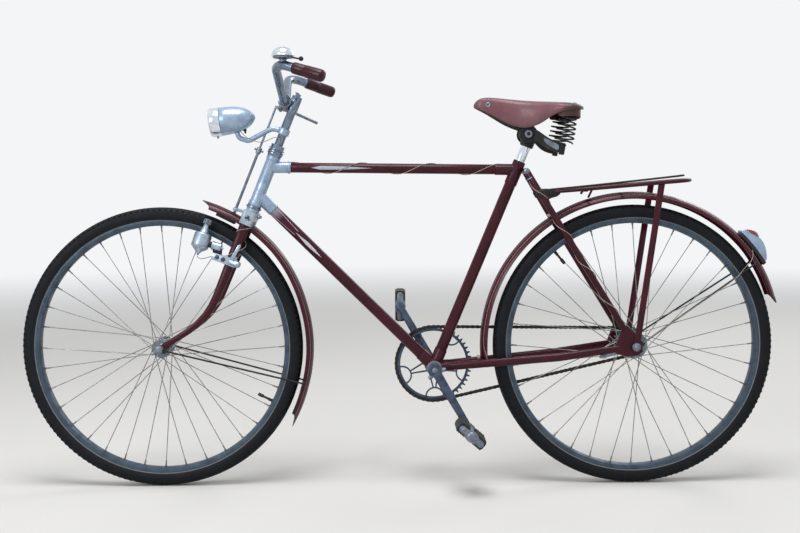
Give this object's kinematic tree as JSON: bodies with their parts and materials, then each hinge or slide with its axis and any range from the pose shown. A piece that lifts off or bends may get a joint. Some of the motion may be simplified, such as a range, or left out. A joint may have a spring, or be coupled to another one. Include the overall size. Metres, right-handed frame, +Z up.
{
  "type": "touring bicycle",
  "caption": "Gentleman's touring bicycle with lugged steel frame, rod brake, mudguards, dynamo lighting, sprung leather saddle and rear rack.",
  "frame": {"origin": "middle of the saddle's top, where the rider sits", "axes": "+X to the rear, +Y to the rider's right-hand side, +Z up"},
  "size_m": [1.9294, 0.5034, 1.0965],
  "materials": {
    "frame_paint": "gloss",
    "silver_paint": "gloss",
    "guard_paint": "gloss",
    "chrome": "polished",
    "steel": "satin",
    "chain_steel": "oiled",
    "rim_steel": "satin",
    "tyre_rubber": "matte",
    "black_rubber": "matte",
    "grip_plastic": "worn gloss",
    "leather": "worn",
    "black_enamel": "worn gloss",
    "lamp_grey": "satin",
    "clear_lens": "clear",
    "red_lens": "translucent gloss"
  },
  "bodies": {
    "frame": {"head_tube": "silver_paint", "headset_cups": "chrome", "top_tube": "frame_paint", "down_tube": "frame_paint", "seat_tube": "frame_paint", "seat_post": "chrome", "bottom_bracket": "frame_paint", "bracket_cups": "steel", "chain_stays": "frame_paint", "seat_stays": "frame_paint", "stay_bridges": "frame_paint", "rear_axle": "steel", "brake_arm": "steel", "chain": "chain_steel", "rear_sprocket": "steel", "rear_mudguard": "guard_paint", "rear_mudguard_stays": "guard_paint", "rack_platform": "frame_paint", "rack_clip": "steel", "rack_legs": "frame_paint", "rear_lamp_body": "lamp_grey", "rear_lamp_lens": "red_lens", "saddle_leather": "leather", "saddle_springs": "black_enamel", "saddle_frame": "black_enamel"},
    "steering": {"fork_crown": "silver_paint", "fork_blades": "frame_paint", "headset_nuts": "chrome", "stem": "chrome", "handlebar": "chrome", "grips": "grip_plastic", "bell": "chrome", "brake_lever": "chrome", "brake_rod": "steel", "brake_shoe": "black_rubber", "headlamp_shell": "lamp_grey", "headlamp_bezel": "chrome", "headlamp_lens": "clear_lens", "lamp_bracket": "lamp_grey", "dynamo": "lamp_grey", "dynamo_bracket": "steel", "front_mudguard": "guard_paint", "front_mudguard_stays": "guard_paint", "front_axle": "steel"},
    "front_wheel": {"front_tyre": "tyre_rubber", "front_rim": "rim_steel", "front_spokes": "steel", "front_hub": "steel"},
    "rear_wheel": {"rear_tyre": "tyre_rubber", "rear_rim": "rim_steel", "rear_spokes": "steel", "rear_hub": "steel"},
    "crankset": {"chainring": "steel", "crank_axle": "steel", "left_crank": "steel", "right_crank": "steel"},
    "left_pedal": {"left_pedal": "black_rubber"},
    "right_pedal": {"right_pedal": "black_rubber"}
  },
  "joints": [
    {"name": "steering_turn", "type": "hinge", "parent": "frame", "child": "steering", "pos_m": [-0.69622, 0, -0.1953], "axis": [0.3795, 0, 0.9252], "range_deg": [-70, 70]},
    {"name": "front_wheel_spin", "type": "hinge", "parent": "steering", "child": "front_wheel", "pos_m": [-0.96, 0, -0.6183], "axis": [0, 1, 0], "continuous": true},
    {"name": "rear_wheel_spin", "type": "hinge", "parent": "frame", "child": "rear_wheel", "pos_m": [0.24, 0, -0.6183], "axis": [0, 1, 0], "continuous": true},
    {"name": "crank_spin", "type": "hinge", "parent": "frame", "child": "crankset", "pos_m": [-0.26783, 0, -0.6728], "axis": [0, 1, 0], "continuous": true},
    {"name": "left_pedal_spin", "type": "hinge", "parent": "crankset", "child": "left_pedal", "pos_m": [-0.18283, -0.126, -0.82002], "axis": [0, 1, 0], "continuous": true},
    {"name": "right_pedal_spin", "type": "hinge", "parent": "crankset", "child": "right_pedal", "pos_m": [-0.35283, 0.126, -0.52558], "axis": [0, 1, 0], "continuous": true}
  ]
}
